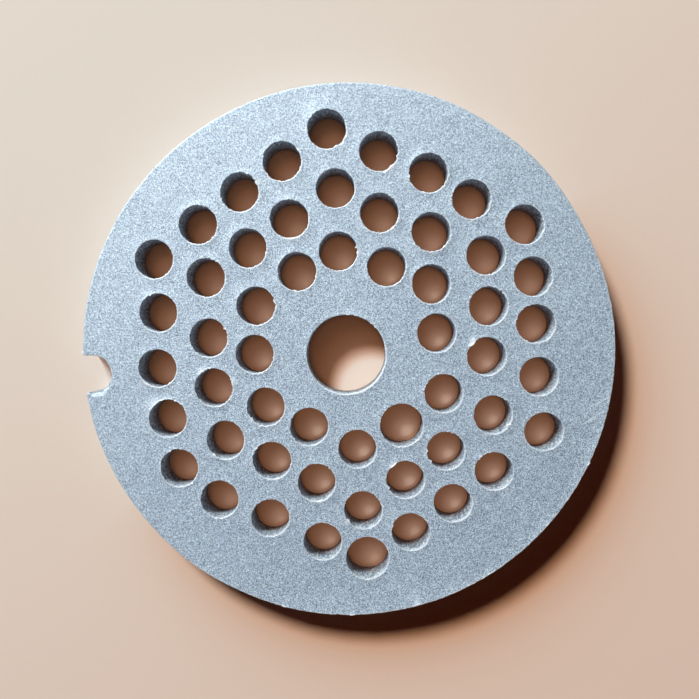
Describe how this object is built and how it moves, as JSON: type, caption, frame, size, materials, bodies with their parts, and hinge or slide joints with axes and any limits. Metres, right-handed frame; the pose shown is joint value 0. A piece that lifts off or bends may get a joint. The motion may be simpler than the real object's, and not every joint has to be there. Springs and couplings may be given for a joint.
{
  "type": "meat grinder plate",
  "caption": "Flat round steel plate for a hand or electric meat grinder, with a spindle bore, a hexagonal field of mincing holes and a locating notch in its rim.",
  "frame": {"origin": "centre of the spindle bore at the lower face", "axes": "+Z along the bore axis, out of the upper face; +Y towards a corner of each hexagon of holes; the rim notch opens towards -X"},
  "size_m": [0.054, 0.054, 0.005],
  "materials": {
    "blasted_steel": "matte, fine blasted grain"
  },
  "bodies": {
    "root": {"grinder_plate": "blasted_steel"}
  },
  "joints": []
}
